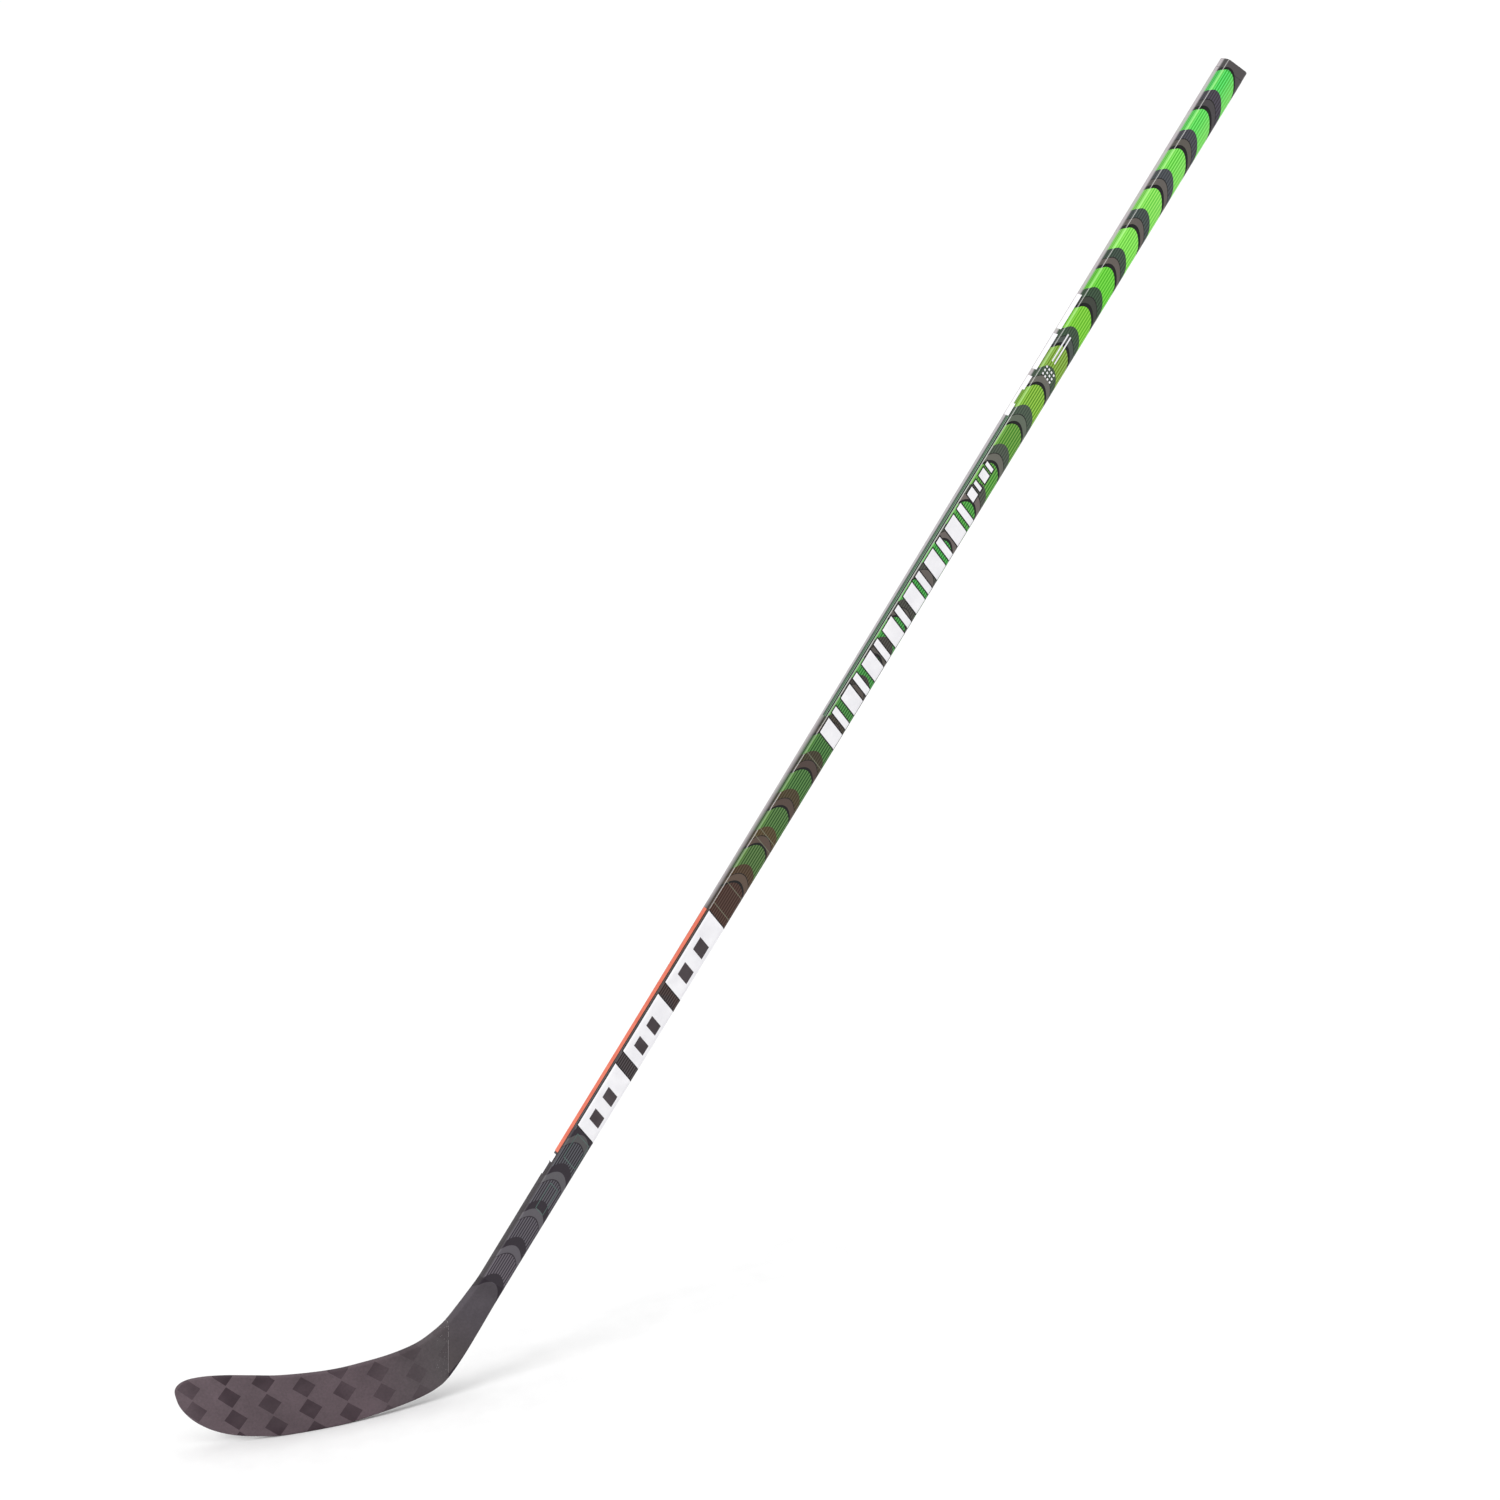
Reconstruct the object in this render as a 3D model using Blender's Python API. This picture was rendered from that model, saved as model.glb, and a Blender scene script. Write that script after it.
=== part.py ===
"""One-piece composite ice hockey stick, left-handed, standing on its blade.

The blade's flat contact strip is at the origin on z = 0, the toe points to -X, and the shaft
rises towards +X. The stick's convex (backhand) face looks to -Y and its hollow (forehand) face
to +Y. Everything is drawn flat in the plane of the shaft first: x along the floor, z up and y
across the thickness. The blade is then bent round an upright axis on its forehand side.
"""

import math

import bmesh
import bpy
import numpy as np
from mathutils import Vector

MM = 0.001
GAP = 0.0003

# Shaft: s is the distance along its axis from the floor line.
LIE = math.radians(48.0)
AXIS_FOOT_X = 0.1071
SHAFT_TOP = 1.600
SHAFT_START = 0.147
SHAFT_WIDTH = 0.0285
WALL = 0.0018
BUTT_COLLAR = 0.011
BUTT_PLUG = 0.030
BUTT_EDGE = 0.0018
BUTT_STEP = 0.0002

# Thickness and corner radius of the shaft's section at points along it, in metres.
TAPER_S = (0.147, 0.30, 0.66, 1.10, 1.60)
TAPER_THICKNESS = (0.0137, 0.0141, 0.0162, 0.0194, 0.0199)
TAPER_CORNER = (0.0038, 0.0040, 0.0043, 0.0046, 0.0046)

# Tongue that joins the blade to the shaft.
TENON_START = 0.126
TENON_END = 0.206
TENON_WALL = 0.0014
BOND_THICKNESS = 0.0005
BOND_END_MARGIN = 0.003

# Blade bend: an arc that starts at BEND_X and turns towards the forehand.
BEND_X = 0.098
BEND_RADIUS = 0.435

# Blade build-up.
SKIN = 0.0009
EDGE_DEPTH = 0.0035
BRIDGE = 0.0014
BRIDGE_AT = 0.50
CORE_START = 0.7
CORE_END = 12.7
HOSEL_WALL = 0.0016
HEEL_CORE_END = 15.1

# Stations from the toe's tip to the shaft, in mm: the lower edge point (x, z), the upper edge
# point (x, z), the thickness and the corner radius.
STATIONS = (
    (-133.4, 54.0, -133.4, 61.0, 4.4, 1.7),
    (-131.0, 43.5, -130.4, 66.0, 4.6, 1.8),
    (-124.6, 33.0, -124.0, 70.2, 4.8, 1.9),
    (-115.0, 23.6, -114.0, 72.9, 5.0, 1.9),
    (-100.0, 14.4, -98.0, 74.0, 5.2, 1.9),
    (-80.0, 7.4, -78.0, 72.9, 5.5, 1.9),
    (-55.0, 2.9, -53.0, 69.4, 5.8, 1.9),
    (-26.0, 0.0, -24.0, 64.8, 6.1, 1.9),
    (26.0, 0.0, 26.0, 60.6, 6.9, 2.0),
    (58.0, 2.4, 60.0, 60.6, 7.8, 2.1),
    (87.0, 5.0, 92.0, 61.7, 8.8, 2.3),
    (112.0, 8.3, 118.0, 65.4, 10.0, 2.6),
    (129.5, 13.0, 138.0, 73.2, 11.0, 2.9),
    (143.2, 20.6, 152.6, 81.6, 11.9, 3.2),
    (163.4, 40.2, 165.8, 92.4, 12.8, 3.5),
    (184.8, 64.2, 180.0, 104.9, 13.3, 3.7),
    (201.6, 83.6, 190.4, 114.3, 13.5, 3.8),
)
SEAM = 13.0
FLAT_FROM, FLAT_TO = 7.0, 8.0
TOE_TURN = 3.0

# Printed films: name, start and end along the shaft, side, and half width.
FILM = 0.00025
FILMS = (
    ("film_backhand_large", 0.328, 0.585, "backhand", 0.0096),
    ("film_backhand_long", 0.794, 1.127, "backhand", 0.0072),
    ("film_backhand_small", 1.228, 1.280, "backhand", 0.0066),
    ("film_forehand_large", 0.328, 0.585, "forehand", 0.0096),
    ("film_forehand_long", 0.794, 1.127, "forehand", 0.0072),
    ("film_upper_panel", 1.173, 1.317, "upper", 0.0048),
    ("film_upper_stripe", 0.2945, 0.585, "upper", 0.0040),
    ("film_upper_tab", 0.268, 0.292, "upper", 0.0038),
)
FILM_STEP = 0.05

FLAT_CORNERS = 4
ARC_STEPS = 4
STATION_STEPS = 3

CARBON = (0.060, 0.056, 0.058)
MATT_CARBON = (0.105, 0.098, 0.102)
SHAFT_GREEN = (0.20, 0.42, 0.16)
FOAM = (0.86, 0.84, 0.76)
EPOXY = (0.55, 0.47, 0.30)
PLUG = (0.045, 0.042, 0.043)
WHITE_INK = (0.88, 0.88, 0.88)
CORAL_INK = (0.85, 0.22, 0.16)


def clear_scene():
    for old in list(bpy.data.objects):
        bpy.data.objects.remove(old)


def make_collection(name):
    collection = bpy.data.collections.new(name)
    bpy.context.scene.collection.children.link(collection)
    return collection


def make_material(name, colour, roughness, metallic=0.0):
    material = bpy.data.materials.new(name)
    material.use_nodes = True
    shader = material.node_tree.nodes["Principled BSDF"]
    shader.inputs["Base Color"].default_value = (*colour, 1.0)
    shader.inputs["Roughness"].default_value = roughness
    shader.inputs["Metallic"].default_value = metallic
    return material


def bend(x, y, z):
    """Bends the flat drawing round an upright axis at y = BEND_RADIUS."""
    if x >= BEND_X:
        return Vector((x, y, z))
    turn = (BEND_X - x) / BEND_RADIUS
    reach = BEND_RADIUS - y
    return Vector((BEND_X - reach * math.sin(turn), BEND_RADIUS - reach * math.cos(turn), z))


CONTACT = bend(0.0, 0.0, 0.0)


def placed(x, y, z):
    """A flat drawing point in the stick's own frame, with the contact strip at the origin."""
    return bend(x, y, z) - CONTACT


# The blade's whole edge as one chain: along the bottom to the toe, then back along the top.
LAST = len(STATIONS) - 1
LOWER = [(row[0] * MM, row[1] * MM) for row in STATIONS]
UPPER = [(row[2] * MM, row[3] * MM) for row in STATIONS]
CHAIN = np.array(LOWER[::-1] + UPPER)


def chain_station(v):
    """The station that a place on the chain belongs to; just below 0 round the toe's tip."""
    return abs(v - LAST - 0.5) - 0.5


def chain_raw(v):
    """A Catmull-Rom curve through CHAIN, where v counts its points."""
    i = min(max(int(v), 0), len(CHAIN) - 2)
    t = v - i
    before = CHAIN[i - 1] if i else 2 * CHAIN[0] - CHAIN[1]
    after = CHAIN[i + 2] if i + 2 < len(CHAIN) else 2 * CHAIN[-1] - CHAIN[-2]
    start, end = CHAIN[i], CHAIN[i + 1]
    point = 0.5 * (
        2 * start
        + (end - before) * t
        + (2 * before - 5 * start + 4 * end - after) * t**2
        + (3 * start - before - 3 * end + after) * t**3
    )
    if LAST - FLAT_TO <= v <= LAST - FLAT_FROM:
        point[1] = 0.0
    return point


def chain_point(v, inset):
    """A point of the edge moved inwards by inset: square to the edge at the toe, and along
    the line between the lower and upper edge points everywhere else."""
    step = 0.02
    point = chain_raw(v)
    along = chain_raw(min(v + step, len(CHAIN) - 1)) - chain_raw(max(v - step, 0.0))
    along /= np.linalg.norm(along)
    inwards = np.array((along[1], -along[0]))
    share = min(max((chain_station(v) - 1.0) / 2.0, 0.0), 1.0)
    if share > 0:
        to_other = chain_raw(2 * LAST + 1 - v) - point
        to_other /= np.dot(to_other, inwards)
        inwards = (1 - share) * inwards + share * to_other
    return point + inset * inwards


def station_value(u, column):
    """Thickness (column 4) or corner radius (column 5) at station u, in metres."""
    return float(np.interp(u, range(len(STATIONS)), [row[column] * MM for row in STATIONS]))


def blade_frame(u, inset=0.0):
    """The lower and upper edge points of station u, moved inwards by inset."""
    return chain_point(LAST - u, inset), chain_point(LAST + 1 + u, inset)


def shaft_frame(s):
    """The shaft's lower and upper edge points at s, in the flat drawing."""
    centre = np.array((AXIS_FOOT_X + s * math.cos(LIE), s * math.sin(LIE)))
    across = np.array((-math.sin(LIE), math.cos(LIE))) * SHAFT_WIDTH / 2
    return centre - across, centre + across


def shaft_value(s, values):
    return float(np.interp(s, TAPER_S, values))


def on_frame(frame, h, y):
    """A point h up from a frame's lower point towards its upper one, and y across."""
    low, high = frame
    way = (high - low) / np.linalg.norm(high - low)
    x, z = low + way * h
    return placed(x, y, z)


def height(frame):
    return float(np.linalg.norm(frame[1] - frame[0]))


def rounded_box(h0, h1, y0, y1, radius):
    """The points (h, y) of a rectangle with round corners, anticlockwise."""
    radius = min(radius, 0.49 * (h1 - h0), 0.49 * (y1 - y0))
    corners = (
        (h1 - radius, y0 + radius, -90),
        (h1 - radius, y1 - radius, 0),
        (h0 + radius, y1 - radius, 90),
        (h0 + radius, y0 + radius, 180),
    )
    points = []
    for h, y, start in corners:
        for step in range(ARC_STEPS + 1):
            angle = math.radians(start + 90 * step / ARC_STEPS)
            points.append((h + radius * math.cos(angle), y + radius * math.sin(angle)))
    return points


def ring(frame, points):
    return [on_frame(frame, h, y) for h, y in points]


def inset_ring(frame, thickness, radius, inset):
    """A ring of the outer section moved inwards by inset all round."""
    half = thickness / 2 - inset
    box = rounded_box(inset, height(frame) - inset, -half, half, max(radius - inset, 0.0004))
    return ring(frame, box)


def shaft_ring(s, inset=0.0):
    thickness = shaft_value(s, TAPER_THICKNESS)
    return inset_ring(shaft_frame(s), thickness, shaft_value(s, TAPER_CORNER), inset)


def hosel_ring(u, inset=0.0):
    return inset_ring(blade_frame(u), station_value(u, 4), station_value(u, 5), inset)


def bridge_rings(bm, rings):
    for first, second in zip(rings, rings[1:]):
        for i in range(len(first)):
            j = (i + 1) % len(first)
            bm.faces.new((first[i], first[j], second[j], second[i]))


def make_body(name, rings, material, inner=None):
    """A closed body lofted through rings of points, or a tube if it is given inner rings."""
    bm = bmesh.new()
    outside = [[bm.verts.new(p) for p in points] for points in rings]
    bridge_rings(bm, outside)
    if inner:
        inside = [[bm.verts.new(p) for p in points] for points in inner]
        bridge_rings(bm, inside)
        bridge_rings(bm, (outside[0], inside[0]))
        bridge_rings(bm, (outside[-1], inside[-1]))
    else:
        bm.faces.new(outside[0])
        bm.faces.new(outside[-1])
    bmesh.ops.recalc_face_normals(bm, faces=bm.faces)
    bmesh.ops.triangulate(bm, faces=bm.faces)
    mesh = bpy.data.meshes.new(name)
    bm.to_mesh(mesh)
    bm.free()
    mesh.materials.append(material)
    mesh.shade_smooth()
    mesh.set_sharp_from_angle(angle=math.radians(35))
    body = bpy.data.objects.new(name, mesh)
    STICK.objects.link(body)
    return body


def steps_between(start, end, per_unit):
    count = max(2, math.ceil(abs(end - start) * per_unit) + 1)
    return np.linspace(start, end, count)


def shaft_steps(start, end):
    """The ends and every taper point between them."""
    inner = [s for s in TAPER_S if start + 0.01 < s < end - 0.01]
    return [start, *inner, end]


# ---- Shaft ----


def make_shaft_tube(material):
    stops = shaft_steps(SHAFT_START + GAP, SHAFT_TOP - BUTT_COLLAR)
    outer = [shaft_ring(s) for s in stops]
    inner = [shaft_ring(s, WALL) for s in stops]
    make_body("shaft_tube", outer, material, inner)


def make_butt_cap(material):
    """A collar a little smaller than the shaft, with a tongue that plugs the tube."""
    rim = SHAFT_TOP - BUTT_COLLAR
    tongue = WALL + GAP
    rings = [
        shaft_ring(rim - BUTT_PLUG, tongue + 0.0008),
        shaft_ring(rim - BUTT_PLUG + 0.0015, tongue),
        shaft_ring(rim + GAP, tongue),
        shaft_ring(rim + GAP, BUTT_STEP),
        shaft_ring(SHAFT_TOP - BUTT_EDGE, BUTT_STEP),
    ]
    for step in (1, 2, 3):
        angle = math.radians(30 * step)
        rise = BUTT_EDGE * math.sin(angle)
        shrink = BUTT_STEP + BUTT_EDGE * (1 - math.cos(angle))
        rings.append(shaft_ring(SHAFT_TOP - BUTT_EDGE + rise, shrink))
    make_body("butt_cap", rings, material)


# ---- Joint ----


def make_joint(carbon, foam, epoxy):
    bond_out = WALL + GAP
    tenon_out = bond_out + BOND_THICKNESS + GAP
    bond = (SHAFT_START + BOND_END_MARGIN, TENON_END - BOND_END_MARGIN)
    make_body(
        "tenon_bond",
        [shaft_ring(s, bond_out) for s in bond],
        epoxy,
        [shaft_ring(s, bond_out + BOND_THICKNESS) for s in bond],
    )
    ends = (TENON_START, TENON_END)
    make_body(
        "hosel_tenon",
        [shaft_ring(s, tenon_out) for s in ends],
        carbon,
        [shaft_ring(s, tenon_out + TENON_WALL) for s in ends],
    )
    core = (TENON_START + BOND_END_MARGIN, TENON_END - BOND_END_MARGIN)
    inset = tenon_out + TENON_WALL + GAP
    make_body("tenon_core", [shaft_ring(s, inset) for s in core], foam)


def make_hosel(wrap, foam):
    """The overwrap, from the seam at the blade's heel up to the shaft, and the foam in it."""
    gap = GAP / 0.02
    stops = list(steps_between(SEAM + gap, LAST, STATION_STEPS))
    outer = [hosel_ring(u) for u in stops] + [shaft_ring(SHAFT_START)]
    inner = [hosel_ring(u, HOSEL_WALL) for u in stops] + [shaft_ring(SHAFT_START, HOSEL_WALL)]
    make_body("hosel_wrap", outer, wrap, inner)
    core = steps_between(SEAM + 2 * gap, HEEL_CORE_END, STATION_STEPS)
    make_body("heel_core", [hosel_ring(u, HOSEL_WALL + GAP) for u in core], foam)


# ---- Blade ----


def blade_steps(start, end):
    return steps_between(start, end, STATION_STEPS)


def box_rings(stops, inset, low_share, high_share, low_trim, high_trim, y_range):
    """Rings of four points between two shares of a blade section's height."""
    rings = []
    for u in stops:
        frame = blade_frame(u, inset)
        whole = height(frame)
        y0, y1 = y_range(station_value(u, 4) / 2)
        h0 = whole * low_share + low_trim
        h1 = whole * high_share - high_trim
        rings.append(ring(frame, ((h0, y0), (h1, y0), (h1, y1), (h0, y1))))
    return rings


def make_skins(material):
    inset = EDGE_DEPTH + GAP
    stops = blade_steps(0.0, SEAM)
    sides = (
        ("skin_backhand", lambda half: (-half, -half + SKIN)),
        ("skin_forehand", lambda half: (half - SKIN, half)),
    )
    for name, y_range in sides:
        make_body(name, box_rings(stops, inset, 0, 1, 0, 0, y_range), material)


def make_cores(foam, carbon):
    inset = EDGE_DEPTH + GAP
    stops = blade_steps(CORE_START, CORE_END)
    half_bridge = BRIDGE / 2
    y_range = lambda half: (-half + SKIN + GAP, half - SKIN - GAP)
    parts = (
        ("core_lower", 0, BRIDGE_AT, 0, half_bridge + GAP, foam),
        ("core_upper", BRIDGE_AT, 1, half_bridge + GAP, 0, foam),
        ("core_bridge", BRIDGE_AT, BRIDGE_AT, -half_bridge, -half_bridge, carbon),
    )
    for name, low, high, low_trim, high_trim, material in parts:
        rings = box_rings(stops, inset, low, high, low_trim, high_trim, y_range)
        make_body(name, rings, material)


def edge_ring(v):
    """A section of the closing strip at v along the chain: flat inside, round outside."""
    u = chain_station(v)
    half = station_value(u, 4) / 2
    radius = min(station_value(u, 5), 0.85 * half)
    profile = [(EDGE_DEPTH, -half)]
    for side in (-1, 1):
        arc = []
        for step in range(ARC_STEPS + 1):
            angle = math.radians(90 * step / ARC_STEPS)
            depth = radius * (1 - math.sin(angle))
            arc.append((depth, side * (half - radius * (1 - math.cos(angle)))))
        profile += arc if side < 0 else arc[::-1]
    profile.append((EDGE_DEPTH, half))
    points = []
    for depth, y in profile:
        x, z = chain_point(v, depth)
        points.append(placed(x, y, z))
    return points


def make_edges(material):
    gap = GAP / 0.012
    low_turn, high_turn = LAST - TOE_TURN, LAST + 1 + TOE_TURN
    spans = (
        ("edge_bottom", LAST - SEAM, low_turn, STATION_STEPS),
        ("edge_toe", low_turn + gap, high_turn - gap, 5),
        ("edge_top", high_turn, LAST + 1 + SEAM, STATION_STEPS),
    )
    for name, start, end, density in spans:
        make_body(name, [edge_ring(v) for v in steps_between(start, end, density)], material)


# ---- Printed films ----


def film_ring(s, side, half_width):
    """A section of a film that lies just over one side of the shaft."""
    frame = shaft_frame(s)
    middle = SHAFT_WIDTH / 2
    if side == "upper":
        low = SHAFT_WIDTH + GAP
        box = ((low, -half_width), (low + FILM, -half_width))
        box += ((low + FILM, half_width), (low, half_width))
        return ring(frame, box)
    out = shaft_value(s, TAPER_THICKNESS) / 2 + GAP
    sign = -1 if side == "backhand" else 1
    box = ((middle - half_width, sign * out), (middle + half_width, sign * out))
    box += ((middle + half_width, sign * (out + FILM)), (middle - half_width, sign * (out + FILM)))
    return ring(frame, box)


def make_films(white, coral):
    for name, start, end, side, half_width in FILMS:
        stops = steps_between(start, end, 1 / FILM_STEP)
        material = coral if name == "film_upper_stripe" else white
        make_body(name, [film_ring(s, side, half_width) for s in stops], material)


clear_scene()
STICK = make_collection("ice_hockey_stick")
carbon_material = make_material("carbon", CARBON, 0.45)
skin_material = make_material("blade_skin", MATT_CARBON, 0.55)
wrap_material = make_material("hosel_wrap", MATT_CARBON, 0.6)
foam_material = make_material("foam", FOAM, 0.9)
epoxy_material = make_material("epoxy", EPOXY, 0.35)
make_shaft_tube(make_material("shaft_finish", SHAFT_GREEN, 0.35))
make_butt_cap(make_material("butt_plug", PLUG, 0.55))
make_joint(carbon_material, foam_material, epoxy_material)
make_hosel(wrap_material, foam_material)
make_skins(skin_material)
make_cores(foam_material, carbon_material)
make_edges(make_material("edge_strip", CARBON, 0.5))
make_films(make_material("white_ink", WHITE_INK, 0.4), make_material("coral_ink", CORAL_INK, 0.4))
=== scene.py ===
"""The finished look of the ice hockey stick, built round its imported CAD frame."""

import math

import bmesh
import bpy
import numpy as np
from mathutils import Matrix, Vector


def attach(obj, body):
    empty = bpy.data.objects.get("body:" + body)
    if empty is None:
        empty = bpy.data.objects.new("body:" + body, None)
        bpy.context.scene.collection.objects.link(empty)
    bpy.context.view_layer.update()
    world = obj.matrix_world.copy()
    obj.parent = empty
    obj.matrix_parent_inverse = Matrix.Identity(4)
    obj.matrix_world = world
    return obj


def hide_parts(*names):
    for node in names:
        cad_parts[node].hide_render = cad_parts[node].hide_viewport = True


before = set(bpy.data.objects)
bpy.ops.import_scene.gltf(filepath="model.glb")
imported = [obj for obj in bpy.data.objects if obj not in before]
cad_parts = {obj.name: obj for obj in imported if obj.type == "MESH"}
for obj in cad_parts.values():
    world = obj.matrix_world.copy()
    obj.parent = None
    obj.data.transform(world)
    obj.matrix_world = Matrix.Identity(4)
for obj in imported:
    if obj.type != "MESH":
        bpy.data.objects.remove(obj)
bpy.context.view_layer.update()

MM = 0.001

# ---- The stick's own shape, as in the CAD, in metres ----

# The shaft: s runs up its axis from the floor line, and LIE is the axis's angle to the floor.
LIE = math.radians(48.0)
AXIS_FOOT_X = 0.1071
SHAFT_TOP = 1.600
SHAFT_START = 0.147
SHAFT_WIDTH = 0.0285
BUTT_COLLAR = 0.011
BUTT_PLUG = 0.030
BUTT_EDGE = 0.0018
BUTT_STEP = 0.0002
PLUG_LEAD, PLUG_CHAMFER = 0.0015, 0.0008
WALL = 0.0018
GAP = 0.0003
TAPER_S = (0.147, 0.30, 0.66, 1.10, 1.60)
TAPER_THICKNESS = (0.0137, 0.0141, 0.0162, 0.0194, 0.0199)
TAPER_CORNER = (0.0038, 0.0040, 0.0043, 0.0046, 0.0046)

# The blade: it is drawn flat and then bent round an arc that starts at BEND_X.
BEND_X = 0.098
BEND_RADIUS = 0.435
SKIN = 0.0009
EDGE_DEPTH = 0.0035
HOSEL_WALL = 0.0016
# Its sections from toe to hosel, in mm: lower x and z, upper x and z, thickness and corner.
STATIONS = (
    (-133.4, 54.0, -133.4, 61.0, 4.4, 1.7),
    (-131.0, 43.5, -130.4, 66.0, 4.6, 1.8),
    (-124.6, 33.0, -124.0, 70.2, 4.8, 1.9),
    (-115.0, 23.6, -114.0, 72.9, 5.0, 1.9),
    (-100.0, 14.4, -98.0, 74.0, 5.2, 1.9),
    (-80.0, 7.4, -78.0, 72.9, 5.5, 1.9),
    (-55.0, 2.9, -53.0, 69.4, 5.8, 1.9),
    (-26.0, 0.0, -24.0, 64.8, 6.1, 1.9),
    (26.0, 0.0, 26.0, 60.6, 6.9, 2.0),
    (58.0, 2.4, 60.0, 60.6, 7.8, 2.1),
    (87.0, 5.0, 92.0, 61.7, 8.8, 2.3),
    (112.0, 8.3, 118.0, 65.4, 10.0, 2.6),
    (129.5, 13.0, 138.0, 73.2, 11.0, 2.9),
    (143.2, 20.6, 152.6, 81.6, 11.9, 3.2),
    (163.4, 40.2, 165.8, 92.4, 12.8, 3.5),
    (184.8, 64.2, 180.0, 104.9, 13.3, 3.7),
    (201.6, 83.6, 190.4, 114.3, 13.5, 3.8),
)
# By number of section: where the faces end at the hosel, and the bottom's flat strip.
SEAM = 13.0
FLAT_FROM, FLAT_TO = 7.0, 8.0
# About how far apart two sections lie at the seam.
SEAM_RUN = 0.02
# The rim's roundest corner, as a share of half the thickness.
RIM_FULLEST = 0.85
# By number of section again: the edge strip's inner edge is square to the outer one up to
# the first, and lies along the sections from the second on.
SQUARE_TO, ALONG_FROM = 1.0, 3.0

# Fineness of the shown pieces.
ARC_STEPS = 8
BUTT_STEPS = 6
RING_STEP = 0.012
STATION_STEPS = 10
TANGENT_STEP = 0.02
FACE_STEPS = 16
MARK_STEP_ALONG, MARK_STEP_ACROSS = 10.0, 1.0
SHARP_ANGLE = math.radians(40.0)

# The printed tube is shown as this many equal sleeves.
SLEEVES = 5


def bend(x, y, z):
    """A flat drawing point carried round the blade's arc."""
    if x >= BEND_X:
        return Vector((x, y, z))
    turn = (BEND_X - x) / BEND_RADIUS
    reach = BEND_RADIUS - y
    return Vector((BEND_X - reach * math.sin(turn), BEND_RADIUS - reach * math.cos(turn), z))


CONTACT = bend(0.0, 0.0, 0.0)


def placed(x, y, z):
    """A flat drawing point in the stick's own frame, with the contact strip at the origin."""
    return bend(x, y, z) - CONTACT


LAST = len(STATIONS) - 1
LOWER = [(row[0] * MM, row[1] * MM) for row in STATIONS]
UPPER = [(row[2] * MM, row[3] * MM) for row in STATIONS]
CHAIN = np.array(LOWER[::-1] + UPPER)


def chain_station(v):
    """The number of the section that a place along CHAIN belongs to."""
    return abs(v - LAST - 0.5) - 0.5


def chain_raw(v):
    """A Catmull-Rom curve through CHAIN, where v counts its points from the lower hosel."""
    i = min(max(int(v), 0), len(CHAIN) - 2)
    t = v - i
    before = CHAIN[i - 1] if i else 2 * CHAIN[0] - CHAIN[1]
    after = CHAIN[i + 2] if i + 2 < len(CHAIN) else 2 * CHAIN[-1] - CHAIN[-2]
    start, end = CHAIN[i], CHAIN[i + 1]
    point = 0.5 * (
        2 * start
        + (end - before) * t
        + (2 * before - 5 * start + 4 * end - after) * t**2
        + (3 * start - before - 3 * end + after) * t**3
    )
    if LAST - FLAT_TO <= v <= LAST - FLAT_FROM:
        point[1] = 0.0
    return point


def chain_point(v, inset):
    """A point of the edge moved inwards by inset: square to the edge at the toe, and along
    the line between the lower and upper edge points everywhere else."""
    point = chain_raw(v)
    ahead = chain_raw(min(v + TANGENT_STEP, len(CHAIN) - 1))
    along = ahead - chain_raw(max(v - TANGENT_STEP, 0.0))
    along /= np.linalg.norm(along)
    inwards = np.array((along[1], -along[0]))
    share = (chain_station(v) - SQUARE_TO) / (ALONG_FROM - SQUARE_TO)
    share = min(max(share, 0.0), 1.0)
    if share > 0:
        to_other = chain_raw(2 * LAST + 1 - v) - point
        to_other /= np.dot(to_other, inwards)
        inwards = (1 - share) * inwards + share * to_other
    return point + inset * inwards


def station_value(u, column):
    return float(np.interp(u, range(len(STATIONS)), [row[column] * MM for row in STATIONS]))


def blade_frame(u, inset=0.0):
    """The lower and upper edge points of the blade at section u."""
    return chain_point(LAST - u, inset), chain_point(LAST + 1 + u, inset)


def shaft_frame(s):
    """The lower and upper points of the shaft's width at s."""
    centre = np.array((AXIS_FOOT_X + s * math.cos(LIE), s * math.sin(LIE)))
    across = np.array((-math.sin(LIE), math.cos(LIE))) * SHAFT_WIDTH / 2
    return centre - across, centre + across


def shaft_value(s, values):
    return float(np.interp(s, TAPER_S, values))


def frame_height(edges):
    return float(np.linalg.norm(edges[1] - edges[0]))


def flat_point(edges, h):
    """The flat drawing point at h up from a section's lower point."""
    low, high = edges
    return low + (high - low) / np.linalg.norm(high - low) * h


def around(width, thickness, radius, p, lift=0.0):
    """Where p leads on a rounded rectangle: the height h and the offset y. p runs down the
    backhand face from 0 at its upper corner, and is negative on the upper narrow side."""
    half = thickness / 2
    reach = radius + lift
    if p < -radius:
        return width + lift, -(half + p)
    if p < radius:
        turn = math.radians(90) * (radius - p) / (2 * radius)
        return width - radius + reach * math.sin(turn), radius - half - reach * math.cos(turn)
    if p <= width - radius:
        return width - p, -half - lift
    if p < width + radius:
        turn = math.radians(90) * (p - width + radius) / (2 * radius)
        return radius - reach * math.sin(turn), radius - half - reach * math.cos(turn)
    return -lift, -(half + width - p)


def half_way_round(width, thickness, radius):
    """The values of p at one side's points, from the upper middle to the lower middle."""
    upper = list(np.linspace(-radius, radius, ARC_STEPS + 1))
    lower = list(np.linspace(width - radius, width + radius, ARC_STEPS + 1))
    return [-thickness / 2, *upper, width / 2, *lower, width + thickness / 2]


def carried_on(p, side, thickness, radius):
    """The label of p: the backhand's print goes on over the whole upper narrow side, and
    closes up with the forehand's own print on the far corner."""
    if side < 0 and p < radius:
        return radius + (p - radius) * thickness / (2 * radius)
    return p


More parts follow.
